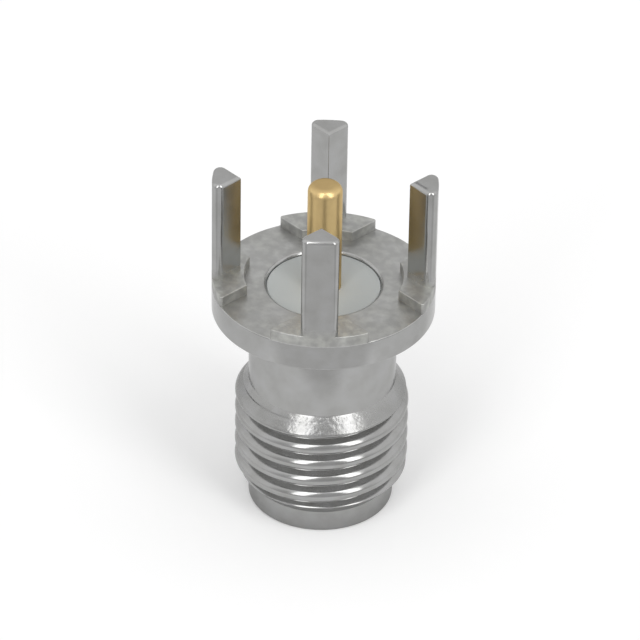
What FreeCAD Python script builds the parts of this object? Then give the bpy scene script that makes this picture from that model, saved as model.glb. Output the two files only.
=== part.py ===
"""Vertical coaxial jack for a circuit board, in millimetres.

The part stands on its threaded mating end. The origin is the centre of the mating end's face, +Z runs up the
axis to the board end, and the four legs stand on the diagonals, so that the board's holes line up with X and Y.
"""

import FreeCAD
import Part

import math
import os

import Sketcher

SIZES = [
    # Stretches of the turned body, one after another from the mating end up
    ("nose_length", 0.85),
    ("thread_length", 4.28),
    ("neck_length", 2.97),
    ("flange_thickness", 1.0),
    ("pad_height", 0.4),
    ("leg_length", 4.0),
    # Diameters of the same stretches. The thread is given at its crests
    ("nose_diameter", 5.26),
    ("thread_diameter", 6.28),
    ("neck_diameter", 5.32),
    ("flange_diameter", 8.0),
    ("nose_bevel", 0.1),
    ("flange_bevel", 0.05),
    # Bores of the body: the wide one takes the plug, the narrow one holds the insulator
    ("mating_bore_diameter", 4.6),
    ("mating_bore_depth", 1.9),
    ("mating_bevel", 0.12),
    ("insulator_bore_diameter", 4.1),
    ("bore_rounding", 0.12),
    # Two crossing cuts leave the pads, and two wider ones leave the legs that stand on them
    ("pad_recess_diameter", 5.68),
    ("pad_slot_width", 2.54),
    ("pad_corner", 0.09),
    ("leg_slot_width", 4.2),
    ("leg_corner", 0.25),
    ("leg_rounding", 0.07),
    # Insulator
    ("insulator_recess", 0.1),
    ("insulator_bevel", 0.06),
    # Contact: a slotted socket below, a collar in the insulator that tapers to the solder pin above
    ("socket_diameter", 1.27),
    ("socket_hole_diameter", 0.93),
    ("socket_hole_depth", 2.8),
    ("socket_bevel", 0.1),
    ("finger_length", 2.1),
    ("finger_slot_width", 0.14),
    ("finger_clearance", 0.05),
    ("collar_diameter", 1.8),
    ("collar_length", 0.4),
    ("collar_depth", 1.5),
    ("pin_diameter", 1.24),
    ("pin_setback", 0.2),
    ("pin_rounding", 0.3),
]

LEVELS = [
    # Heights above the mating face
    ("neck_base", "sizes.nose_length + sizes.thread_length"),
    ("flange_base", "levels.neck_base + sizes.neck_length"),
    ("flange_top", "levels.flange_base + sizes.flange_thickness"),
    ("pad_top", "levels.flange_top + sizes.pad_height"),
    ("leg_top", "levels.pad_top + sizes.leg_length"),
    ("insulator_top", "levels.flange_top - sizes.insulator_recess"),
    ("pin_top", "levels.leg_top - sizes.pin_setback"),
    ("collar_top", "levels.flange_top - sizes.collar_depth"),
    ("collar_base", "levels.collar_top - sizes.collar_length"),
    ("finger_root", "sizes.mating_bore_depth + sizes.finger_length"),
    ("hole_end", "sizes.mating_bore_depth + sizes.socket_hole_depth"),
    # Radii
    ("nose", "sizes.nose_diameter / 2"),
    ("crest", "sizes.thread_diameter / 2"),
    ("neck", "sizes.neck_diameter / 2"),
    ("flange", "sizes.flange_diameter / 2"),
    ("mating_bore", "sizes.mating_bore_diameter / 2"),
    ("insulator", "sizes.insulator_bore_diameter / 2"),
    ("recess", "sizes.pad_recess_diameter / 2"),
    ("socket", "sizes.socket_diameter / 2"),
    ("socket_hole", "sizes.socket_hole_diameter / 2"),
    ("finger_room", "levels.socket + sizes.finger_clearance"),
    ("collar", "sizes.collar_diameter / 2"),
    ("pin", "sizes.pin_diameter / 2"),
    # Half widths of the slots
    ("pad_slot", "sizes.pad_slot_width / 2"),
    ("leg_slot", "sizes.leg_slot_width / 2"),
    ("finger_slot", "sizes.finger_slot_width / 2"),
]

TOLERANCE = 1e-4

doc = FreeCAD.newDocument("coaxial_jack")


def make_sheet():
    sheet = doc.addObject("Spreadsheet::Sheet", "sizes")
    for row, (name, value) in enumerate(SIZES, start=1):
        sheet.set(f"A{row}", name)
        sheet.set(f"B{row}", str(value))
        sheet.setAlias(f"B{row}", name)
    doc.recompute()
    return sheet


def add_level(name, formula):
    levels.addProperty("App::PropertyFloat", name)
    levels.setExpression(name, formula)


def add_slot_mouth(name):
    """Where the rounding of a slot's mouth touches the slot's wall and the rim of the flange."""
    add_level(name + "_arc_y", f"levels.{name}_slot + sizes.{name}_corner")
    add_level(name + "_arc_x", f"sqrt((levels.flange - sizes.{name}_corner)^2 - levels.{name}_arc_y^2)")
    add_level(name + "_rim_x", f"levels.{name}_arc_x * levels.flange / (levels.flange - sizes.{name}_corner)")
    add_level(name + "_rim_y", f"levels.{name}_arc_y * levels.flange / (levels.flange - sizes.{name}_corner)")


sheet = make_sheet()
levels = doc.addObject("App::VarSet", "levels")
for level_name, level_formula in LEVELS:
    add_level(level_name, level_formula)
add_slot_mouth("pad")
add_slot_mouth("leg")
doc.recompute()


def new_body(name):
    body = doc.addObject("PartDesign::Body", name)
    body.Label = name
    doc.recompute()
    return body


def origin_feature(body, role):
    return next(feature for feature in body.Origin.OriginFeatures if feature.Role == role)


def new_sketch(body, name, plane_role):
    sketch = body.newObject("Sketcher::SketchObject", name)
    sketch.AttachmentSupport = (origin_feature(body, plane_role), [""])
    sketch.MapMode = "FlatFace"
    return sketch


def value_of(formula):
    """The value of a sum such as "levels.neck - sizes.gap", to place a sketch's lines before they are solved."""
    total = 0.0
    sign = 1.0
    for word in formula.split():
        if word in "+-":
            sign = 1.0 if word == "+" else -1.0
        elif word.startswith("levels."):
            total += sign * getattr(levels, word.removeprefix("levels."))
        elif word.startswith("sizes."):
            total += sign * sheet.get(word.removeprefix("sizes."))
        else:
            total += sign * float(word)
    return total


def hold(sketch, axis, item, point, formula):
    """Holds one coordinate of a point at a formula's value: on the sketch's axis if it is 0, else by a distance."""
    if formula == "0":
        sketch_axis = {"X": -2, "Y": -1}[axis]
        sketch.addConstraint(Sketcher.Constraint("PointOnObject", item, point, sketch_axis))
        return
    distance = Sketcher.Constraint("Distance" + axis, -1, 1, item, point, value_of(formula))
    index = sketch.addConstraint(distance)
    sketch.setExpression(f"Constraints[{index}]", formula)


def draw_outline(sketch, corners, arc_centres=None):
    """Closed outline. Corners and centres are pairs of formulas. Each stretch runs from its corner to the next one,
    straight, or clockwise about a centre given for it. An arc itself sets Y at its far end."""
    arc_centres = arc_centres or {}
    count = len(corners)
    points = [FreeCAD.Vector(value_of(x), value_of(y), 0) for x, y in corners]
    for i, point in enumerate(points):
        following = points[(i + 1) % count]
        if i in arc_centres:
            centre = FreeCAD.Vector(*[value_of(formula) for formula in arc_centres[i]], 0)
            circle = Part.Circle(centre, FreeCAD.Vector(0, 0, 1), (point - centre).Length)
            first = math.atan2(following.y - centre.y, following.x - centre.x)
            last = math.atan2(point.y - centre.y, point.x - centre.x)
            sketch.addGeometry(Part.ArcOfCircle(circle, first, last), False)
        else:
            sketch.addGeometry(Part.LineSegment(point, following), False)
    starts = [2 if i in arc_centres else 1 for i in range(count)]
    for i in range(count):
        end = 3 - starts[i]
        following = (i + 1) % count
        sketch.addConstraint(Sketcher.Constraint("Coincident", i, end, following, starts[following]))
    for i, (x, y) in enumerate(corners):
        hold(sketch, "X", i, starts[i], x)
        if i - 1 not in arc_centres:
            hold(sketch, "Y", i, starts[i], y)
    for i, (x, y) in arc_centres.items():
        hold(sketch, "X", i, 3, x)
        hold(sketch, "Y", i, 3, y)
    doc.recompute()


def turn(body, name, corners, arc_centres=None):
    """Solid of revolution about the body's axis. The corners are pairs of radius and height."""
    sketch = new_sketch(body, name + "_section", "XZ_Plane")
    draw_outline(sketch, corners, arc_centres)
    turned = body.newObject("PartDesign::Revolution", name)
    turned.Profile = sketch
    turned.ReferenceAxis = (sketch, ["V_Axis"])
    turned.Angle = 360
    doc.recompute()


def mill_around(body, name, base, corners, arc_centres=None, depth=None):
    """Cuts an outline upwards from a height, to a depth or right through, at four places around the axis."""
    before = body.Shape.Volume
    sketch = new_sketch(body, name + "_outline", "XY_Plane")
    sketch.setExpression("AttachmentOffset.Base.z", base)
    draw_outline(sketch, corners, arc_centres)
    slot = body.newObject("PartDesign::Pocket", name)
    slot.Profile = sketch
    slot.Reversed = True
    if depth:
        slot.Type = "Length"
        slot.setExpression("Length", depth)
    else:
        slot.Type = "ThroughAll"
    doc.recompute()
    around = body.newObject("PartDesign::PolarPattern", name + "_around")
    around.Originals = [slot]
    around.Axis = (origin_feature(body, "Z_Axis"), [""])
    around.Angle = 360
    around.Occurrences = 4
    body.Tip = around
    doc.recompute()
    if around.Shape.Volume > before - TOLERANCE:
        raise RuntimeError(name + " cut nothing")


def mill_eased_slots(body, name, base):
    """Slots from the axis out past the flange's rim, with rounded corners where their walls meet the rim."""
    half = f"levels.{name}_slot"
    arc_x, arc_y = f"levels.{name}_arc_x", f"levels.{name}_arc_y"
    rim_x, rim_y = f"levels.{name}_rim_x", f"levels.{name}_rim_y"
    past_rim = "levels.flange + sizes.flange_thickness"
    corners = [
        ("0", f"0 - {half}"),
        (arc_x, f"0 - {half}"),
        (rim_x, f"0 - {rim_y}"),
        (past_rim, f"0 - {rim_y}"),
        (past_rim, rim_y),
        (rim_x, rim_y),
        (arc_x, half),
        ("0", half),
    ]
    mill_around(body, name + "_slots", base, corners, {1: (arc_x, f"0 - {arc_y}"), 5: (arc_x, arc_y)})


def round_edges(body, name, radius, test):
    base = body.Tip
    edges = [f"Edge{i}" for i, edge in enumerate(base.Shape.Edges, start=1) if test(edge)]
    rounding = body.newObject("PartDesign::Fillet", name)
    rounding.Base = (base, edges)
    rounding.setExpression("Radius", radius)
    doc.recompute()


def lies_at(edge, height):
    return all(abs(vertex.Z - height) < TOLERANCE for vertex in edge.Vertexes)


def make_body():
    """The metal body, one piece turned from bar and milled: nose, thread, neck, flange, pads and legs."""
    body = new_body("body")
    section = [
        ("levels.mating_bore + sizes.mating_bevel", "0"),
        ("levels.mating_bore", "sizes.mating_bevel"),
        ("levels.mating_bore", "sizes.mating_bore_depth"),
        ("levels.insulator", "sizes.mating_bore_depth"),
        ("levels.insulator", "levels.flange_top - sizes.bore_rounding"),
        ("levels.insulator + sizes.bore_rounding", "levels.flange_top"),
        ("levels.recess", "levels.flange_top"),
        ("levels.recess", "levels.leg_top"),
        ("levels.flange", "levels.leg_top"),
        ("levels.flange", "levels.flange_base + sizes.flange_bevel"),
        ("levels.flange - sizes.flange_bevel", "levels.flange_base"),
        ("levels.neck", "levels.flange_base"),
        ("levels.neck", "levels.neck_base"),
        ("levels.crest", "levels.neck_base - levels.crest + levels.neck"),
        ("levels.crest", "sizes.nose_length + levels.crest - levels.nose"),
        ("levels.nose", "sizes.nose_length"),
        ("levels.nose", "sizes.nose_bevel"),
        ("levels.nose - sizes.nose_bevel", "0"),
    ]
    lip_centre = ("levels.insulator + sizes.bore_rounding", "levels.flange_top - sizes.bore_rounding")
    turn(body, "turned_blank", section, {4: lip_centre})
    mill_eased_slots(body, "pad", "levels.flange_top")
    mill_eased_slots(body, "leg", "levels.pad_top")
    round_edges(body, "leg_tips", "sizes.leg_rounding", lambda edge: lies_at(edge, levels.leg_top))
    return body


def make_insulator():
    """White plastic bead, flush with the shoulder of the mating bore, with a hollow that holds the collar."""
    body = new_body("insulator")
    turn(
        body,
        "turned_bead",
        [
            ("levels.finger_room", "sizes.mating_bore_depth"),
            ("levels.insulator", "sizes.mating_bore_depth"),
            ("levels.insulator", "levels.insulator_top - sizes.insulator_bevel"),
            ("levels.insulator - sizes.insulator_bevel", "levels.insulator_top"),
            ("levels.pin", "levels.insulator_top"),
            ("levels.collar", "levels.collar_top"),
            ("levels.collar", "levels.collar_base"),
            ("levels.socket", "levels.collar_base"),
            ("levels.socket", "levels.finger_root"),
            ("levels.finger_room", "levels.finger_root"),
        ],
    )
    return body


def make_contact():
    """Gold-plated contact turned from one rod: a socket split into spring fingers, a collar and a solder pin. The
    collar's flat shoulder faces the socket, and its taper meets the pin at the insulator's top."""
    body = new_body("centre_contact")
    turn(
        body,
        "turned_rod",
        [
            ("levels.socket_hole + sizes.socket_bevel", "sizes.mating_bore_depth"),
            ("levels.socket", "sizes.mating_bore_depth"),
            ("levels.socket", "levels.collar_base"),
            ("levels.collar", "levels.collar_base"),
            ("levels.collar", "levels.collar_top"),
            ("levels.pin", "levels.insulator_top"),
            ("levels.pin", "levels.pin_top"),
            ("0", "levels.pin_top"),
            ("0", "levels.hole_end"),
            ("levels.socket_hole", "levels.hole_end"),
            ("levels.socket_hole", "sizes.mating_bore_depth + sizes.socket_bevel"),
        ],
    )
    finger_slot = [
        ("0", "0 - levels.finger_slot"),
        ("levels.collar", "0 - levels.finger_slot"),
        ("levels.collar", "levels.finger_slot"),
        ("0", "levels.finger_slot"),
    ]
    mill_around(body, "finger_slots", "sizes.mating_bore_depth", finger_slot, depth="sizes.finger_length")
    round_edges(body, "pin_tip", "sizes.pin_rounding", lambda edge: lies_at(edge, levels.pin_top))
    return body


def check(pieces):
    for item in doc.Objects:
        if "Invalid" in item.State or "Error" in item.State:
            raise RuntimeError(f"{item.Name} failed: {item.State}")
    for piece in pieces:
        shape = piece.Shape
        if shape.isNull() or not shape.isValid() or len(shape.Solids) != 1:
            raise RuntimeError(f"{piece.Label} isn't one valid solid")


def main():
    pieces = [make_body(), make_insulator(), make_contact()]
    check(pieces)
    os.makedirs("parts", exist_ok=True)
    for piece in pieces:
        piece.Shape.exportStep(f"parts/{piece.Label}.step")
        box = piece.Shape.BoundBox
        print(piece.Label, round(piece.Shape.Volume, 4), len(piece.Shape.Faces), box)


main()
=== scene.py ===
"""Vertical coaxial jack for a circuit board, standing on its threaded mating end.

Lengths are in millimetres until a mesh is made, and in metres in the scene.
"""

import math

import bpy
import numpy as np
from mathutils import Matrix, Vector
from mathutils.geometry import tessellate_polygon


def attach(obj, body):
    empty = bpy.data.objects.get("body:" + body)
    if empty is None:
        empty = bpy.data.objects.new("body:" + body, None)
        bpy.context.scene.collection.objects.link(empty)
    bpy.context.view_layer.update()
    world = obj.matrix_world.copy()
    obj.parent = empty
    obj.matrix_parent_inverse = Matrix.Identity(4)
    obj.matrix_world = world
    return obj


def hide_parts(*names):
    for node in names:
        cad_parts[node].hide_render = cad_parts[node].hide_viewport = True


MM = 0.001

# Heights above the mating face
NOSE_TOP = 0.85
NECK_BASE = 5.13
FLANGE_BASE = 8.1
FLANGE_TOP = 9.1
PAD_TOP = 9.5
LEG_TOP = 13.5
BORE_FLOOR = 1.9
FINGER_ROOT = 4.0
SOCKET_END = 4.7
COLLAR_BASE = 7.2
COLLAR_TOP = 7.6
INSULATOR_TOP = 9.0
PIN_TOP = 13.3

# Radii
NOSE = 2.63
CREST = 3.14
ROOT = 2.82
NECK = 2.66
FLANGE = 4.0
MATING_BORE = 2.3
INSULATOR_BORE = 2.05
PAD_RECESS = 2.84
PIN = 0.62
COLLAR = 0.9
SHANK = 0.635
FINGER_ROOM = 0.685
SOCKET_HOLE = 0.465

# Slots that leave the pads and the legs: half their width and the rounding at their mouths
PAD_SLOT = 1.27
PAD_MOUTH = 0.09
LEG_SLOT = 2.1
LEG_MOUTH = 0.25
LEG_APEX = 0.02

# Half the width of the slots between the contact's fingers
FINGER_SLOT = 0.07

# Tilt in degrees of the contact's taper, from its collar up to the pin
TAPER = 11.3

# Bevels and roundings of the edges
MATING_BEVEL = 0.12
NOSE_ROUNDING = 0.1
NECK_CORNER = 0.06
FLANGE_FOOT = 0.05
BORE_LIP = 0.12
FLANGE_EDGE = 0.045
PAD_EDGE = 0.035
LEG_EDGE = 0.13
INSULATOR_EDGE = 0.06
SOCKET_BEVEL = 0.1
FOOT_ROUNDING = 0.03
PIN_ROUNDING = 0.3

# How fast the rim's rounding grows with the distance from a pad or a leg
FLANGE_RUN_OUT = 2.4
PAD_RUN_OUT = 0.9

# Azimuths before a mouth within which the columns of the mesh are close together
PAD_SPAN = 0.06
LEG_SPAN = 0.09

# Corners of faces nearer than the first length are one vertex, and points of an outline nearer than
# the second are one point. The third is room for rounding errors
SAME_PLACE = 2e-5
SAME_POINT = 1e-6
TOLERANCE = 1e-9

# Thread: 36 turns to the inch, right-handed. A crest passes the height below at the azimuth below.
# Each crest is one round arc between its flanks
PITCH = 25.4 / 36
CREST_HEIGHT = 1.82
CREST_AZIMUTH = math.radians(-43.1)
CREST_HALF_WIDTH = 0.14
CREST_ROUNDING = CREST_HALF_WIDTH * math.sqrt(3)
ROOT_ROUNDING = 0.045
FLANK_SLOPE = math.tan(math.radians(60))
THREAD_BEVEL = 0.58
BEVEL_BLEND = 0.05
UPPER_SLOPE = (CREST - NECK) / THREAD_BEVEL
LOWER_SLOPE = (CREST - NOSE) / THREAD_BEVEL

# Distances up or down from the middle of a crest to the ends of its arc and of the root's rounding
CREST_END = CREST_ROUNDING * math.sin(math.radians(60))
FLANK_FOOT = CREST_HALF_WIDTH + (CREST - ROOT) / FLANK_SLOPE
ROOT_END = FLANK_FOOT + ROOT_ROUNDING * math.tan(math.radians(30))
ROOT_START = ROOT_END - ROOT_ROUNDING * math.sin(math.radians(60))
CLOSEST_ROWS = 0.004

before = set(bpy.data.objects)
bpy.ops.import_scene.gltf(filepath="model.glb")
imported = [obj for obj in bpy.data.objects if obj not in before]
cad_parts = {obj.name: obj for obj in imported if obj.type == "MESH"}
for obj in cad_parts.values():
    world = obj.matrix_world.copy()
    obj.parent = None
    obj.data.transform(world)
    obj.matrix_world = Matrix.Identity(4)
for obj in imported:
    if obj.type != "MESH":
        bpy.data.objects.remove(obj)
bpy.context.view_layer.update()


def new_object(name, data):
    item = bpy.data.objects.new(name, data)
    bpy.context.scene.collection.objects.link(item)
    return item


class Panels:
    """Collects faces with the exact normal at each corner. Corners at one place become one vertex."""

    def __init__(self):
        self.points = []
        self.normals = []
        self.faces = []
        self.count = 0

    def add(self, points, normals, faces):
        self.points.append(np.asarray(points, float).reshape(-1, 3))
        self.normals.append(np.asarray(normals, float).reshape(-1, 3))
        for face in faces:
            self.faces.append([self.count + int(corner) for corner in face])
        self.count += len(self.points[-1])

    def grid(self, points, normals, closed):
        """Rows of points, each row running counter-clockwise seen from above. The rows go up the outside."""
        rows, columns = points.shape[:2]
        faces = []
        for row in range(rows - 1):
            for column in range(columns if closed else columns - 1):
                following = (column + 1) % columns
                low, high = row * columns, (row + 1) * columns
                faces.append((low + column, low + following, high + following, high + column))
        self.add(points, normals, faces)

    def flat(self, outlines, height, up=True):
        """Flat face at a height, inside the first outline and outside the others."""
        loops = [[Vector((x, y, 0)) for x, y in outline] for outline in outlines]
        corners = np.array([(point.x, point.y, height) for loop in loops for point in loop])
        faces = []
        for a, b, c in tessellate_polygon(loops):
            first, second = corners[b] - corners[a], corners[c] - corners[a]
            turns_left = first[0] * second[1] - first[1] * second[0] > 0
            faces.append((a, b, c) if turns_left == up else (a, c, b))
        normal = (0, 0, 1 if up else -1)
        self.add(corners, np.tile(normal, (len(corners), 1)), faces)

    def object(self, name):
        points = np.concatenate(self.points)
        normals = np.concatenate(self.normals)
        keys = np.round(points / SAME_PLACE).astype(np.int64)
        _, kept, place = np.unique(keys, axis=0, return_index=True, return_inverse=True)
        place = place.reshape(-1)
        faces = []
        face_normals = []
        for face in self.faces:
            corners = []
            corner_normals = []
            for corner in face:
                vertex = int(place[corner])
                if vertex not in corners:
                    corners.append(vertex)
                    corner_normals.append(normals[corner])
            if len(corners) > 2:
                faces.append(corners)
                face_normals.extend(corner_normals)
        mesh = bpy.data.meshes.new(name)
        mesh.from_pydata((points[kept] * MM).tolist(), [], faces)
        mesh.polygons.foreach_set("use_smooth", [True] * len(faces))
        mesh.normals_split_custom_set([tuple(normal) for normal in face_normals])
        mesh.update()
        return new_object(name, mesh)


def mouth(slot, rounding):
    """Centre of a mouth's rounding, for the slot along +X, and the azimuth where it touches the rim."""
    y = slot + rounding
    x = math.sqrt((FLANGE - rounding) ** 2 - y * y)
    return x, y, math.atan2(y, x)


# Where the slots' rounded mouths meet the rim, as azimuths from the middle of a slot
PAD_X, PAD_Y, PAD_AZIMUTH = mouth(PAD_SLOT, PAD_MOUTH)
LEG_X, LEG_Y, LEG_AZIMUTH = mouth(LEG_SLOT, LEG_MOUTH)
EIGHTH = math.pi / 4


def rim_azimuths():
    """Azimuths of the columns, all the way round from the middle of a slot."""
    half = []
    for start, end, count in [
        (0, PAD_AZIMUTH - PAD_SPAN, 12),
        (PAD_AZIMUTH - PAD_SPAN, PAD_AZIMUTH, 8),
        (PAD_AZIMUTH, LEG_AZIMUTH - LEG_SPAN, 9),
        (LEG_AZIMUTH - LEG_SPAN, LEG_AZIMUTH, 7),
        (LEG_AZIMUTH, EIGHTH, 5),
    ]:
        half += list(np.linspace(start, end, count, endpoint=False))
    quarter = half + [EIGHTH] + [math.pi / 2 - azimuth for azimuth in reversed(half[1:])]
    return np.array([turn * math.pi / 2 + azimuth for turn in range(4) for azimuth in quarter])


AZIMUTHS = rim_azimuths()


def from_slot(azimuths):
    """Azimuth from the middle of the nearest slot, from 0 to an eighth of a turn."""
    folded = np.mod(azimuths, math.pi / 2)
    return np.minimum(folded, math.pi / 2 - folded)


def flange_inset(azimuths):
    """Size of the rounding on the flange's rim, which runs out where a pad begins."""
    gap = np.maximum(PAD_AZIMUTH - from_slot(azimuths), 0) * FLANGE
    return np.minimum(FLANGE_EDGE, FLANGE_RUN_OUT * gap * gap)


def pad_inset(azimuths):
    """Size of the rounding on a pad's rim, which runs out where the leg begins."""
    gap = np.maximum(LEG_AZIMUTH - from_slot(azimuths), 0) * FLANGE
    return np.minimum(PAD_EDGE, PAD_RUN_OUT * gap * gap)


def arc(centre, radius, start, end, count):
    """Points and outward normals round an arc, both ends among them."""
    angles = np.linspace(start, end, count)
    normals = np.stack([np.cos(angles), np.sin(angles)], 1)
    return np.array(centre) + radius * normals, normals


def mirrored(points, normals):
    """The same stretch on the other side of the diagonal, in the opposite order."""
    return points[::-1, ::-1], normals[::-1, ::-1]


def rim_stretch(start, end, inset):
    azimuths = AZIMUTHS[(AZIMUTHS > start - TOLERANCE) & (AZIMUTHS < end + TOLERANCE)]
    normals = np.stack([np.cos(azimuths), np.sin(azimuths)], 1)
    radii = FLANGE - inset(azimuths) * np.ones(len(azimuths))
    return radii[:, None] * normals, normals


def pad_outline(share):
    """Outline of the first diagonal's pad, counter-clockwise, drawn in by a share of its rounding."""
    inset = PAD_EDGE * share
    last_mouth = math.pi / 2 - PAD_AZIMUTH
    stretches = [rim_stretch(PAD_AZIMUTH, last_mouth, lambda azimuths: pad_inset(azimuths) * share)]
    curve = arc((PAD_X, PAD_Y), PAD_MOUTH - inset, -math.pi / 2, PAD_AZIMUTH, 9)
    wall = PAD_SLOT + inset
    recess = PAD_RECESS + inset
    inner = math.asin(wall / recess)
    wall_points = np.stack([np.linspace(recess * math.cos(inner), PAD_X, 8), np.full(8, wall)], 1)
    wall_normals = np.tile((0.0, -1.0), (8, 1))
    stretches.append(mirrored(*curve))
    stretches.append(mirrored(wall_points, wall_normals))
    recess_points, recess_normals = arc((0, 0), recess, math.pi / 2 - inner, inner, 25)
    stretches.append((recess_points, -recess_normals))
    stretches.append((wall_points, wall_normals))
    stretches.append(curve)
    return stretches


def leg_outline(inset):
    """Outline of the first diagonal's leg, counter-clockwise, drawn in by an inset."""
    stretches = [rim_stretch(LEG_AZIMUTH, math.pi / 2 - LEG_AZIMUTH, lambda azimuths: inset)]
    curve = arc((LEG_X, LEG_Y), LEG_MOUTH - inset, -math.pi / 2, LEG_AZIMUTH, 15)
    apex_radius = max(LEG_APEX - inset, 0)
    apex_centre = LEG_SLOT + max(LEG_APEX, inset)
    apex = arc((apex_centre, apex_centre), apex_radius, math.pi, math.pi * 1.5, 7)
    wall = LEG_SLOT + inset
    wall_points = np.stack([np.linspace(apex_centre, LEG_X, 6), np.full(6, wall)], 1)
    wall_normals = np.tile((0.0, -1.0), (6, 1))
    stretches.append(mirrored(*curve))
    stretches.append(mirrored(wall_points, wall_normals))
    stretches.append(apex)
    stretches.append((wall_points, wall_normals))
    stretches.append(curve)
    return stretches


def turned(points, quarter):
    """A copy of points in the plane, moved round by quarter turns."""
    cosine, sine = [(1, 0), (0, 1), (-1, 0), (0, -1)][quarter]
    x, y = points[:, 0], points[:, 1]
    return np.stack([cosine * x - sine * y, sine * x + cosine * y], 1)


def raise_walls(panels, outline_at, base, top, rows, sizes):
    """Walls of a pad or a leg from its base up, and its top edge with the rounding's size at each point."""
    tilts = np.linspace(0, math.pi / 2, rows)
    drawn = [outline_at(1 - math.cos(tilt)) for tilt in tilts]
    for quarter in range(4):
        for index in range(len(drawn[0])):
            foot = turned(drawn[0][index][0], quarter)
            outward = turned(drawn[0][index][1], quarter)
            level = np.zeros((len(foot), 1))
            size = sizes[index].reshape(-1, 1)
            flat_normals = np.hstack([outward, level])
            lowest = np.hstack([foot, level + base])
            points = [lowest]
            normals = [flat_normals]
            for tilt, stretch in zip(tilts, drawn):
                ring = turned(stretch[index][0], quarter)
                height = top - size + size * math.sin(tilt)
                points.append(np.hstack([ring, height]))
                tilted = np.hstack([outward * math.cos(tilt), level + math.sin(tilt)])
                normals.append(tilted)
            panels.grid(np.array(points), np.array(normals), False)


def profile_radius(offset):
    """Radius of the thread's surface and its slope, at a height above or below the middle of a crest."""
    height = np.abs((offset / PITCH + 0.5) % 1.0 - 0.5) * PITCH
    side = np.where((offset / PITCH + 0.5) % 1.0 >= 0.5, 1.0, -1.0)
    across = np.clip(height / CREST_ROUNDING, 0, 0.999)
    drop = np.sqrt(1 - across * across)
    radius = CREST - CREST_ROUNDING * (1 - drop)
    slope = -across / drop
    on_flank = (height > CREST_END) & (height <= ROOT_START)
    radius = np.where(on_flank, CREST - (height - CREST_HALF_WIDTH) * FLANK_SLOPE, radius)
    slope = np.where(on_flank, -FLANK_SLOPE, slope)
    on_root = (height > ROOT_START) & (height <= ROOT_END)
    across = np.clip((ROOT_END - height) / ROOT_ROUNDING, 0, 0.999)
    drop = np.sqrt(1 - across * across)
    radius = np.where(on_root, ROOT + ROOT_ROUNDING * (1 - drop), radius)
    slope = np.where(on_root, -across / drop, slope)
    radius = np.where(height > ROOT_END, ROOT, radius)
    slope = np.where(height > ROOT_END, 0, slope)
    return radius, slope * side


def profile_rows():
    """Places of the mesh's rows within one pitch, from one root to the next, closest on the rounded edges."""
    half = list(CREST_ROUNDING * np.sin(np.radians([0, 10, 20, 30, 40, 50, 60])))
    half += [CREST_END + (ROOT_START - CREST_END) * share for share in (0.33, 0.67)]
    half += list(ROOT_END - ROOT_ROUNDING * np.sin(np.radians([60, 40, 20, 0])))
    half = [height for height in half if height < PITCH / 2 - CLOSEST_ROWS]
    return np.array([-height for height in reversed(half[1:])] + half + [PITCH / 2])


def cone_radius(height):
    """The bevels at both ends of the thread, which cut its ridges off."""
    return np.minimum(NECK + (NECK_BASE - height) * UPPER_SLOPE, NOSE + (height - NOSE_TOP) * LOWER_SLOPE)


def cut_thread(panels):
    """The threaded barrel between the nose and the neck.

    Its rows follow the helix, and its ridges are rounded where a bevel cuts them off.
    """
    rows = profile_rows()
    starts = np.concatenate([CREST_HEIGHT + PITCH * turn + rows for turn in range(-3, 9)])
    columns = len(AZIMUTHS)
    climb = PITCH * (AZIMUTHS - CREST_AZIMUTH) / (2 * math.pi)
    heights = np.clip(starts[:, None] + climb[None, :], NOSE_TOP, NECK_BASE)

    thread_radius, slopes = profile_radius(heights - CREST_HEIGHT - climb[None, :])
    bevel_radius = cone_radius(heights)
    leans = np.where(heights > (NOSE_TOP + NECK_BASE) / 2, -UPPER_SLOPE, LOWER_SLOPE)
    thread_share = np.clip(0.5 + (bevel_radius - thread_radius) / (2 * BEVEL_BLEND), 0, 1)
    bevel_share = 1 - thread_share
    radius = thread_share * thread_radius + bevel_share * bevel_radius
    radius = radius - BEVEL_BLEND * thread_share * bevel_share
    rise = thread_share * slopes + bevel_share * leans
    twist = thread_share * slopes * PITCH / (2 * math.pi) / radius
    length = np.sqrt(1 + twist * twist + rise * rise)
    cosines, sines = np.cos(AZIMUTHS), np.sin(AZIMUTHS)
    points = np.stack([radius * cosines, radius * sines, heights], 2)
    normals = np.stack([cosines - twist * sines, sines + twist * cosines, -rise], 2) / length[:, :, None]

    # The last column joins the first one a turn further up, so its rows are one pitch on
    faces = []
    for column in range(columns):
        following = (column + 1) % columns
        step = len(rows) if following == 0 else 0
        for row in range(len(starts) - 1 - step):
            far = row + step
            if heights[row + 1, column] <= NOSE_TOP and heights[far + 1, following] <= NOSE_TOP:
                continue
            if heights[row, column] >= NECK_BASE and heights[far, following] >= NECK_BASE:
                continue
            near_corners = (row * columns + column, (row + 1) * columns + column)
            far_corners = (far * columns + following, (far + 1) * columns + following)
            faces.append((near_corners[0], far_corners[0], far_corners[1], near_corners[1]))
    panels.add(points, normals, faces)


def lathe(panels, stretches, azimuths):
    """Turns stretches of a section about the axis. They run up the outside and down the inside.

    Each is a list of (radius, height, tilt), where the tilt is the normal's angle above the level in degrees.
    """
    cosines, sines = np.cos(azimuths), np.sin(azimuths)
    for stretch in stretches:
        points = []
        normals = []
        for radius, height, tilt in stretch:
            level, rise = math.cos(math.radians(tilt)), math.sin(math.radians(tilt))
            points.append(np.stack([radius * cosines, radius * sines, np.full_like(cosines, height)], 1))
            normals.append(np.stack([level * cosines, level * sines, np.full_like(cosines, rise)], 1))
        panels.grid(np.array(points), np.array(normals), True)


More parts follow.
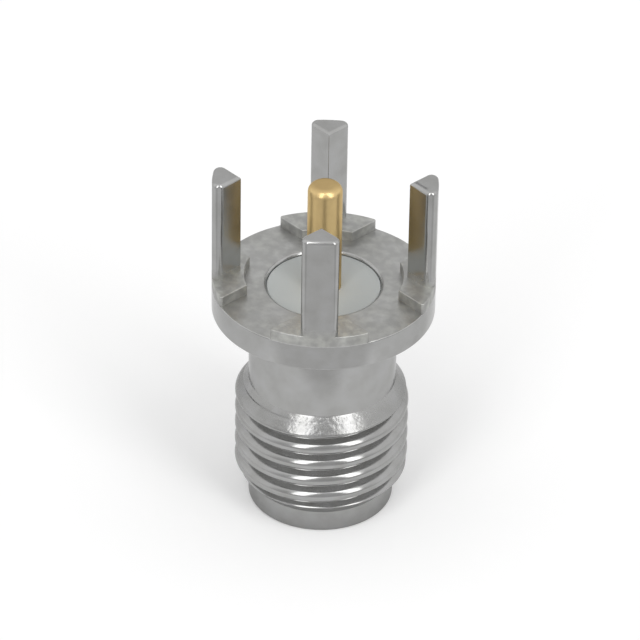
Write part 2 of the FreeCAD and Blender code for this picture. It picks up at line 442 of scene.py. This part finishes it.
def bend(radius, height, size, start, end, count):
    """A rounded stretch of a section about a centre, with normals that turn from one tilt to the other.

    A size below zero makes a hollow corner.
    """
    stretch = []
    for tilt in np.linspace(start, end, count):
        angle = math.radians(tilt)
        stretch.append((radius + size * math.cos(angle), height + size * math.sin(angle), tilt))
    return stretch


def make_body():
    """The metal body: nose, thread, neck, flange, pads and legs in one closed skin."""
    panels = Panels()
    lip = INSULATOR_BORE + BORE_LIP
    foot = MATING_BORE + MATING_BEVEL
    inside = [
        bend(lip, FLANGE_TOP - BORE_LIP, BORE_LIP, 90, 180, 10),
        [(INSULATOR_BORE, FLANGE_TOP - BORE_LIP, 180), (INSULATOR_BORE, BORE_FLOOR, 180)],
        [(INSULATOR_BORE, BORE_FLOOR, -90), (MATING_BORE, BORE_FLOOR, -90)],
        [(MATING_BORE, BORE_FLOOR, 180), (MATING_BORE, MATING_BEVEL, 180)],
        [(MATING_BORE, MATING_BEVEL, 225), (foot, 0, 225)],
        [(foot, 0, -90), (NOSE - NOSE_ROUNDING, 0, -90)],
    ]
    outside = [
        bend(NOSE - NOSE_ROUNDING, NOSE_ROUNDING, NOSE_ROUNDING, -90, 0, 8),
        [(NOSE, NOSE_ROUNDING, 0), (NOSE, NOSE_TOP, 0)],
        [(NECK, NECK_BASE, 0), (NECK, FLANGE_BASE - NECK_CORNER, 0)],
        bend(NECK + NECK_CORNER, FLANGE_BASE - NECK_CORNER, -NECK_CORNER, 0, -90, 6),
        [(NECK + NECK_CORNER, FLANGE_BASE, -90), (FLANGE - FLANGE_FOOT, FLANGE_BASE, -90)],
        bend(FLANGE - FLANGE_FOOT, FLANGE_BASE + FLANGE_FOOT, FLANGE_FOOT, -90, 0, 6),
    ]
    lathe(panels, inside + outside, AZIMUTHS)
    cut_thread(panels)

    # Side and rounded top edge of the flange
    cosines, sines = np.cos(AZIMUTHS), np.sin(AZIMUTHS)
    inset = flange_inset(AZIMUTHS)
    lowest = np.full_like(cosines, FLANGE_BASE + FLANGE_FOOT)
    points = [np.stack([FLANGE * cosines, FLANGE * sines, lowest], 1)]
    normals = [np.stack([cosines, sines, 0 * cosines], 1)]
    for tilt in np.linspace(0, math.pi / 2, 6):
        radius = FLANGE - inset * (1 - math.cos(tilt))
        height = FLANGE_TOP - inset * (1 - math.sin(tilt))
        points.append(np.stack([radius * cosines, radius * sines, height], 1))
        level = math.cos(tilt)
        normals.append(np.stack([level * cosines, level * sines, np.full_like(cosines, math.sin(tilt))], 1))
    panels.grid(np.array(points), np.array(normals), True)

    # Flat top of the flange round the pads
    outline = []
    for quarter in range(4):
        middle = quarter * math.pi / 2
        spread = np.mod(AZIMUTHS - middle + math.pi, 2 * math.pi) - math.pi
        chosen = np.sort(spread[np.abs(spread) < PAD_AZIMUTH + TOLERANCE]) + middle
        radii = FLANGE - flange_inset(chosen)
        outline.append(np.stack([radii * np.cos(chosen), radii * np.sin(chosen)], 1))
        pad = pad_outline(0)
        way_in = [stretch[0][::-1] for stretch in reversed(pad[1:])]
        outline.append(turned(np.concatenate(way_in), quarter))
    circle = np.stack([lip * cosines, lip * sines], 1)
    panels.flat([without_repeats(np.concatenate(outline)), circle], FLANGE_TOP)

    # Pads
    sizes = [np.full(len(points), PAD_EDGE) for points, _ in pad_outline(0)]
    past_slot = AZIMUTHS > PAD_AZIMUTH - TOLERANCE
    rim = AZIMUTHS[past_slot & (AZIMUTHS < math.pi / 2 - PAD_AZIMUTH + TOLERANCE)]
    sizes[0] = pad_inset(rim)
    raise_walls(panels, pad_outline, FLANGE_TOP, PAD_TOP, 6, sizes)
    top = pad_outline(1)
    leg = leg_outline(0)
    rim_points = top[0][0]
    before_leg = rim_points[rim < LEG_AZIMUTH + TOLERANCE]
    after_leg = rim_points[rim > math.pi / 2 - LEG_AZIMUTH - TOLERANCE]
    round_leg = [stretch[0][::-1] for stretch in reversed(leg[1:])]
    outline = [before_leg] + round_leg + [after_leg] + [stretch[0] for stretch in top[1:]]
    for quarter in range(4):
        panels.flat([turned(without_repeats(np.concatenate(outline)), quarter)], PAD_TOP)

    # Legs
    sizes = [np.full(len(points), LEG_EDGE) for points, _ in leg]
    raise_walls(panels, lambda share: leg_outline(LEG_EDGE * share), PAD_TOP, LEG_TOP, 7, sizes)
    top = np.concatenate([stretch[0] for stretch in leg_outline(LEG_EDGE)])
    for quarter in range(4):
        panels.flat([turned(without_repeats(top), quarter)], LEG_TOP)
    return panels.object("jack_body")


def without_repeats(points):
    """The outline without points that lie on the one before."""
    following = np.roll(points, -1, axis=0)
    return points[np.hypot(*(following - points).T) > SAME_POINT]


def make_insulator():
    """White bead between the body and the contact, with rounded outer edges."""
    panels = Panels()
    azimuths = np.linspace(0, 2 * math.pi, 192, endpoint=False)
    foot = INSULATOR_BORE - FOOT_ROUNDING
    top = INSULATOR_BORE - INSULATOR_EDGE
    shoulder = INSULATOR_TOP - INSULATOR_EDGE
    lathe(
        panels,
        [
            [(FINGER_ROOM, BORE_FLOOR, -90), (foot, BORE_FLOOR, -90)],
            bend(foot, BORE_FLOOR + FOOT_ROUNDING, FOOT_ROUNDING, -90, 0, 5),
            [(INSULATOR_BORE, BORE_FLOOR + FOOT_ROUNDING, 0), (INSULATOR_BORE, shoulder, 0)],
            bend(top, shoulder, INSULATOR_EDGE, 0, 90, 7),
            [(top, INSULATOR_TOP, 90), (PIN, INSULATOR_TOP, 90)],
            [(PIN, INSULATOR_TOP, 180 + TAPER), (COLLAR, COLLAR_TOP, 180 + TAPER)],
            [(COLLAR, COLLAR_TOP, 180), (COLLAR, COLLAR_BASE, 180)],
            [(COLLAR, COLLAR_BASE, 90), (SHANK, COLLAR_BASE, 90)],
            [(SHANK, COLLAR_BASE, 180), (SHANK, FINGER_ROOT, 180)],
            [(SHANK, FINGER_ROOT, -90), (FINGER_ROOM, FINGER_ROOT, -90)],
            [(FINGER_ROOM, FINGER_ROOT, 180), (FINGER_ROOM, BORE_FLOOR, 180)],
        ],
        azimuths,
    )
    return panels.object("white_bead")


def make_contact():
    """Gold-plated contact: a solder pin with a rounded tip above, and a slotted socket below."""
    panels = Panels()
    azimuths = np.linspace(0, 2 * math.pi, 160, endpoint=False)
    mouth_edge = SOCKET_HOLE + SOCKET_BEVEL
    foot = SHANK - FOOT_ROUNDING
    tip = PIN - PIN_ROUNDING
    lathe(
        panels,
        [
            [(SOCKET_HOLE, SOCKET_END, 180), (SOCKET_HOLE, BORE_FLOOR + SOCKET_BEVEL, 180)],
            [(SOCKET_HOLE, BORE_FLOOR + SOCKET_BEVEL, 225), (mouth_edge, BORE_FLOOR, 225)],
            [(mouth_edge, BORE_FLOOR, -90), (foot, BORE_FLOOR, -90)],
            bend(foot, BORE_FLOOR + FOOT_ROUNDING, FOOT_ROUNDING, -90, 0, 5),
            [(SHANK, BORE_FLOOR + FOOT_ROUNDING, 0), (SHANK, COLLAR_BASE, 0)],
            [(SHANK, COLLAR_BASE, -90), (COLLAR, COLLAR_BASE, -90)],
            [(COLLAR, COLLAR_BASE, 0), (COLLAR, COLLAR_TOP, 0)],
            [(COLLAR, COLLAR_TOP, TAPER), (PIN, INSULATOR_TOP, TAPER)],
            [(PIN, INSULATOR_TOP, 0), (PIN, PIN_TOP - PIN_ROUNDING, 0)],
            bend(tip, PIN_TOP - PIN_ROUNDING, PIN_ROUNDING, 0, 90, 14),
        ],
        azimuths,
    )
    circle = np.stack([np.cos(azimuths), np.sin(azimuths)], 1)
    panels.flat([tip * circle], PIN_TOP)
    panels.flat([SOCKET_HOLE * circle], SOCKET_END, up=False)
    return panels.object("gold_contact")


def slot_cutter():
    """Two crossing bars, which leave four fingers of the socket. It is only used to cut."""
    half, reach, low, high = FINGER_SLOT, 0.9, BORE_FLOOR - 0.5, FINGER_ROOT
    outline = [
        (half, half), (half, reach), (-half, reach), (-half, half), (-reach, half), (-reach, -half),
        (-half, -half), (-half, -reach), (half, -reach), (half, -half), (reach, -half), (reach, half),
    ]
    count = len(outline)
    points = [(x * MM, y * MM, height * MM) for height in (low, high) for x, y in outline]
    faces = [(i, (i + 1) % count, count + (i + 1) % count, count + i) for i in range(count)]
    faces += [tuple(reversed(range(count))), tuple(range(count, 2 * count))]
    mesh = bpy.data.meshes.new("finger_cut")
    mesh.from_pydata(points, [], faces)
    return new_object("finger_cut", mesh)


def split_fingers(contact):
    cutter = slot_cutter()
    cut = contact.modifiers.new("finger_slots", "BOOLEAN")
    cut.operation = "DIFFERENCE"
    cut.solver = "EXACT"
    cut.object = cutter
    bpy.context.view_layer.update()
    evaluated = contact.evaluated_get(bpy.context.evaluated_depsgraph_get())
    mesh = bpy.data.meshes.new_from_object(evaluated)
    contact.modifiers.clear()
    contact.data = mesh
    bpy.data.objects.remove(cutter)
    mesh.polygons.foreach_set("use_smooth", [True] * len(mesh.polygons))
    mesh.set_sharp_from_angle(angle=math.radians(30))


class Nodes:
    """Short calls for a material's node tree."""

    def __init__(self, name):
        self.material = bpy.data.materials.new(name)
        self.material.use_nodes = True
        self.tree = self.material.node_tree
        self.shader = self.tree.nodes["Principled BSDF"]

    def add(self, kind, **values):
        node = self.tree.nodes.new(kind)
        for name, value in values.items():
            setattr(node, name, value)
        return node

    def join(self, source, target):
        self.tree.links.new(source, target)

    def ramp(self, source, stops):
        node = self.add("ShaderNodeValToRGB")
        while len(node.color_ramp.elements) < len(stops):
            node.color_ramp.elements.new(0.5)
        for element, (place, colour) in zip(node.color_ramp.elements, stops):
            element.position = place
            element.color = (*colour, 1)
        self.join(source, node.inputs["Fac"])
        return node.outputs["Color"]

    def spread(self, source, low, high):
        """Maps 0 to 1 onto a range."""
        node = self.add("ShaderNodeMapRange")
        node.inputs["To Min"].default_value = low
        node.inputs["To Max"].default_value = high
        self.join(source, node.inputs["Value"])
        return node.outputs["Result"]

    def noise(self, scale, detail):
        place = self.add("ShaderNodeTexCoord")
        node = self.add("ShaderNodeTexNoise")
        node.inputs["Scale"].default_value = scale
        node.inputs["Detail"].default_value = detail
        self.join(place.outputs["Object"], node.inputs["Vector"])
        return node.outputs["Fac"]

    def level(self, top):
        """Height above the mating face, as a share of the height of the top."""
        place = self.add("ShaderNodeTexCoord")
        parts = self.add("ShaderNodeSeparateXYZ")
        self.join(place.outputs["Object"], parts.inputs["Vector"])
        node = self.add("ShaderNodeMapRange")
        node.inputs["From Max"].default_value = top * MM
        self.join(parts.outputs["Z"], node.inputs["Value"])
        return node.outputs["Result"]

    def blend(self, share, first, second):
        node = self.add("ShaderNodeMix", data_type="RGBA")
        self.join(share, node.inputs[0])
        self.join(first, node.inputs[6])
        self.join(second, node.inputs[7])
        return node.outputs[2]

    def product(self, first, second):
        node = self.add("ShaderNodeVectorMath", operation="MULTIPLY")
        self.join(first, node.inputs[0])
        self.join(second, node.inputs[1])
        return node.outputs["Vector"]

    def total(self, first, second):
        node = self.add("ShaderNodeMath", operation="ADD")
        self.join(first, node.inputs[0])
        self.join(second, node.inputs[1])
        return node.outputs["Value"]

    def bump(self, height, distance):
        node = self.add("ShaderNodeBump")
        node.inputs["Strength"].default_value = 1
        node.inputs["Distance"].default_value = distance
        self.join(height, node.inputs["Height"])
        self.join(node.outputs["Normal"], self.shader.inputs["Normal"])


def nickel():
    """Bright nickel over turned and milled brass, with soft stains and a fine grain.

    The nose is rougher, and the milled pads and the bevel over the thread are mottled by their tool marks.
    Painted shade darkens the nose, most at its foot, and the thread, the bevel above it and the neck under
    the flange.
    """
    made = Nodes("bright_nickel")
    stain = made.noise(1500, 5)
    colour = made.ramp(stain, [(0.3, (0.385, 0.384, 0.376)), (0.5, (0.42, 0.42, 0.414)), (0.7, (0.445,) * 3)])
    level = made.level(LEG_TOP)
    black, white = (0, 0, 0), (1, 1, 1)
    # Painted shade by height: darker on the nose, most at its foot, on the thread, on the bevel above it and
    # on the neck under the flange
    shade_stops = [(0, 0.66), (0.05, 0.82), (0.07, 0.9), (0.33, 0.9), (0.35, 0.8), (0.38, 0.88)]
    shade_stops += [(0.598, 0.88), (0.602, 1)]
    painted_shade = made.ramp(level, [(place, (grey,) * 3) for place, grey in shade_stops])
    milled = made.ramp(level, [(0.6742, black), (0.6755, white), (0.704, white), (0.728, black)])
    flecks = made.ramp(made.noise(3000, 4), [(0.4, (0.99, 0.99, 0.98)), (0.68, (1.26, 1.27, 1.22))])
    colour = made.product(colour, painted_shade)
    made.join(made.blend(milled, colour, made.product(colour, flecks)), made.shader.inputs["Base Color"])
    made.shader.inputs["Metallic"].default_value = 1
    made.shader.inputs["Specular Tint"].default_value = (0.8, 0.8, 0.8, 1)
    grain = made.noise(5000, 3)
    bevel = made.ramp(level, [(0.334, black), (0.344, white), (0.375, white), (0.381, black)])
    end = made.ramp(level, [(0.086, white), (0.096, black)])
    rough = made.total(made.spread(grain, 0.13, 0.21), made.spread(bevel, 0, 0.1))
    rough = made.total(rough, made.total(made.spread(milled, 0, 0.38), made.spread(end, 0, 0.2)))
    made.join(rough, made.shader.inputs["Roughness"])
    depth = made.total(made.spread(bevel, 0.03, 0.9), milled)
    made.bump(made.product(grain, depth), 2e-5)
    return made.material


def gold():
    """Bright gold plating with a fine grain, with painted shade on the flat end of the pin."""
    made = Nodes("bright_gold")
    stain = made.noise(1500, 4)
    colour = made.ramp(stain, [(0.3, (0.67, 0.49, 0.235)), (0.7, (0.745, 0.56, 0.27))])
    level = made.level(PIN_TOP)
    # Painted shade: the flat end of the pin is darker
    painted_shade = made.ramp(level, [(0.992, (1, 1, 1)), (0.999, (0.78, 0.76, 0.74))])
    made.join(made.product(colour, painted_shade), made.shader.inputs["Base Color"])
    made.shader.inputs["Metallic"].default_value = 1
    made.shader.inputs["Specular Tint"].default_value = (0.75, 0.7, 0.6, 1)
    grain = made.noise(5000, 3)
    made.join(made.spread(grain, 0.28, 0.38), made.shader.inputs["Roughness"])
    made.bump(grain, 8e-7)
    return made.material


def white_plastic():
    """Turned white fluoropolymer: waxy, faintly mottled, with very fine rings about the axis."""
    made = Nodes("white_fluoropolymer")
    cloud = made.noise(350, 4)
    colour = made.ramp(cloud, [(0.3, (0.445, 0.468, 0.466)), (0.7, (0.475, 0.5, 0.498))])
    made.join(colour, made.shader.inputs["Base Color"])
    made.shader.inputs["Subsurface Weight"].default_value = 0.15
    made.shader.inputs["Subsurface Radius"].default_value = (1, 0.95, 0.9)
    made.shader.inputs["Subsurface Scale"].default_value = 0.0004
    made.shader.inputs["IOR"].default_value = 1.38
    grain = made.noise(1500, 3)
    made.join(made.spread(grain, 0.38, 0.5), made.shader.inputs["Roughness"])
    place = made.add("ShaderNodeTexCoord")
    rings = made.add("ShaderNodeTexWave", wave_type="RINGS", rings_direction="Z")
    rings.inputs["Scale"].default_value = 2600
    rings.inputs["Distortion"].default_value = 0.6
    made.join(place.outputs["Object"], rings.inputs["Vector"])
    made.bump(rings.outputs["Fac"], 6e-7)
    return made.material


body = make_body()
insulator = make_insulator()
contact = make_contact()
split_fingers(contact)
body.data.materials.append(nickel())
insulator.data.materials.append(white_plastic())
contact.data.materials.clear()
contact.data.materials.append(gold())
for piece, node, slot in [
    (body, "body", "plated_metal"),
    (insulator, "insulator", "white_insulator"),
    (contact, "centre_contact", "gold_contact"),
]:
    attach(piece, "root")
    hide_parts(node)

# The photograph was taken with a leg towards the camera, so the camera stands on a diagonal
FRONT = math.radians(46.9)
CAMERA_PLACE = (0, -153.5916, 114.3271)
CAMERA_PITCH = math.radians(34.8247)
CAMERA_YAW = math.radians(-0.0411)
CAMERA_ROLL = math.radians(0.958)
FOCAL_PIXELS = 5219.43
PICTURE_PIXELS = 640
SENSOR_WIDTH = 36

# Metres from the object to a lamp, and the height that the lamps are aimed at
LAMP_DISTANCE = 0.5
LAMP_AIM = 0.007

# Half the floor's width and the length of the ramps at its greyer sides, in metres
FLOOR_REACH = 1.5
FLOOR_RAMP = 0.01

# The floor's grey, and the light that lifts it to white
FLOOR_GREY = 0.95
FLOOR_LIFT = 0.08

turn_to_row = Matrix.Rotation(FRONT, 3, "Z")


def in_row(x, y, z):
    """A place or direction seen from the camera's side: X to the right, Y away, Z up."""
    return turn_to_row @ Vector((x, y, z))


def make_camera():
    pitch, yaw, roll = CAMERA_PITCH, CAMERA_YAW, CAMERA_ROLL
    place = Vector(CAMERA_PLACE) * MM
    ahead = Vector((math.sin(yaw) * math.cos(pitch), math.cos(yaw) * math.cos(pitch), -math.sin(pitch)))
    right = Vector((math.cos(yaw), -math.sin(yaw), 0))
    up = right.cross(ahead)
    rolled_right = math.cos(roll) * right + math.sin(roll) * up
    rolled_up = math.cos(roll) * up - math.sin(roll) * right
    data = bpy.data.cameras.new("camera")
    data.sensor_width = SENSOR_WIDTH
    data.lens = FOCAL_PIXELS / PICTURE_PIXELS * SENSOR_WIDTH
    data.clip_start = 0.01
    data.clip_end = 10
    camera = new_object("camera", data)
    rotation = turn_to_row @ Matrix((rolled_right, rolled_up, -ahead)).transposed()
    camera.matrix_world = Matrix.LocRotScale(turn_to_row @ place, rotation.to_quaternion(), None)
    bpy.context.scene.camera = camera


def add_lamp(name, azimuth, elevation, size, power):
    """A tall soft box, at an azimuth in degrees to the right of the camera's and an elevation."""
    data = bpy.data.lights.new(name, "AREA")
    data.shape = "RECTANGLE"
    data.size, data.size_y = size
    data.energy = power
    lamp = new_object(name, data)
    aside, up = math.radians(azimuth), math.radians(elevation)
    way = in_row(math.sin(aside) * math.cos(up), -math.cos(aside) * math.cos(up), math.sin(up))
    lamp.location = in_row(0, 0, LAMP_AIM) + LAMP_DISTANCE * way
    lamp.rotation_euler = (-way).to_track_quat("-Z", "Y").to_euler()


def seen_share(tree):
    """1 for what the camera, mirrors and glass see, 0 for the light that reaches dull surfaces."""
    rays = tree.nodes.new("ShaderNodeLightPath")
    share = rays.outputs["Is Camera Ray"]
    for kind in ["Is Glossy Ray", "Is Transmission Ray"]:
        either = tree.nodes.new("ShaderNodeMath")
        either.operation = "MAXIMUM"
        tree.links.new(share, either.inputs[0])
        tree.links.new(rays.outputs[kind], either.inputs[1])
        share = either.outputs[0]
    return share


def grey_ramp(tree, source, stops):
    node = tree.nodes.new("ShaderNodeValToRGB")
    node.color_ramp.interpolation = "EASE"
    while len(node.color_ramp.elements) < len(stops):
        node.color_ramp.elements.new(0.5)
    for element, (place, grey) in zip(node.color_ramp.elements, stops):
        element.position = place
        element.color = (grey, grey, grey, 1)
    tree.links.new(source, node.inputs["Fac"])
    return node.outputs["Color"]


def times(tree, first, second):
    node = tree.nodes.new("ShaderNodeVectorMath")
    node.operation = "MULTIPLY"
    tree.links.new(first, node.inputs[0])
    tree.links.new(second, node.inputs[1])
    return node.outputs["Vector"]


def along(tree, source, axis, low, high):
    """Maps how far a place or direction lies along an axis of the picture, from low to high, onto 0 to 1."""
    turn = tree.nodes.new("ShaderNodeVectorMath")
    turn.operation = "DOT_PRODUCT"
    turn.inputs[1].default_value = in_row(*axis)
    tree.links.new(source, turn.inputs[0])
    share = tree.nodes.new("ShaderNodeMapRange")
    share.inputs["From Min"].default_value = low
    share.inputs["From Max"].default_value = high
    tree.links.new(turn.outputs["Value"], share.inputs["Value"])
    return share.outputs["Result"]


def make_floor():
    """A plain white floor with painted shade, greyer beyond the sides of the picture and towards the
    photographer, which the metal's sides reflect.

    What the camera and mirrors see of it is lifted to white where no shadow falls.
    """
    mesh = bpy.data.meshes.new("floor")
    corners = [(FLOOR_REACH * x, FLOOR_REACH * y, 0) for x, y in [(-1, -1), (1, -1), (1, 1), (-1, 1)]]
    mesh.from_pydata(corners, [], [(0, 1, 2, 3)])
    floor = new_object("floor", mesh)
    material = bpy.data.materials.new("pale_floor")
    material.use_nodes = True
    tree = material.node_tree
    shader = tree.nodes["Principled BSDF"]
    place = tree.nodes.new("ShaderNodeNewGeometry")
    shade = None
    # Painted shade on the floor beyond the picture, for the metal to reflect
    for axis, start, far in [
        ((0, -1, 0), 0.0107, 0.7),
        ((1, -0.07, 0), 0.0114, 0.83),
        ((-1, -0.07, 0), 0.0114, 0.83),
    ]:
        beyond = along(tree, place.outputs["Position"], axis, start, start + FLOOR_RAMP)
        side = grey_ramp(tree, beyond, [(0, 1), (0.18, far)])
        shade = side if shade is None else times(tree, shade, side)
    pale = tree.nodes.new("ShaderNodeVectorMath")
    pale.operation = "SCALE"
    pale.inputs["Scale"].default_value = FLOOR_GREY
    tree.links.new(shade, pale.inputs[0])
    tree.links.new(pale.outputs["Vector"], shader.inputs["Base Color"])
    shader.inputs["Roughness"].default_value = 1
    shader.inputs["Specular IOR Level"].default_value = 0
    tree.links.new(shade, shader.inputs["Emission Color"])
    lift = tree.nodes.new("ShaderNodeMath")
    lift.operation = "MULTIPLY"
    lift.inputs[1].default_value = FLOOR_LIFT
    tree.links.new(seen_share(tree), lift.inputs[0])
    tree.links.new(lift.outputs[0], shader.inputs["Emission Strength"])
    mesh.materials.append(material)


def light_world():
    """White behind and beside the object, greyer behind the photographer."""
    world = bpy.data.worlds.new("studio")
    bpy.context.scene.world = world
    world.use_nodes = True
    tree = world.node_tree
    tree.nodes.clear()
    out = tree.nodes.new("ShaderNodeOutputWorld")
    sky = tree.nodes.new("ShaderNodeBackground")
    place = tree.nodes.new("ShaderNodeTexCoord")
    depth = along(tree, place.outputs["Generated"], (0, 1, 0), -1, 1)
    shade = grey_ramp(tree, depth, [(0.08, 0.6), (0.2, 0.65), (0.38, 1), (0.7, 1), (0.9, 0.8)])
    tree.links.new(shade, sky.inputs["Color"])
    strength = tree.nodes.new("ShaderNodeMapRange")
    strength.inputs["To Min"].default_value = 0.76
    strength.inputs["To Max"].default_value = 1
    tree.links.new(seen_share(tree), strength.inputs["Value"])
    tree.links.new(strength.outputs["Result"], sky.inputs["Strength"])
    tree.links.new(sky.outputs[0], out.inputs[0])


make_camera()
make_floor()
light_world()
add_lamp("lamp_left", -28, 40, (0.15, 0.58), 0.8)
add_lamp("lamp_right", 41, 40, (0.16, 0.58), 0.85)
bpy.context.scene.view_settings.view_transform = "Standard"

bpy.context.view_layer.update()
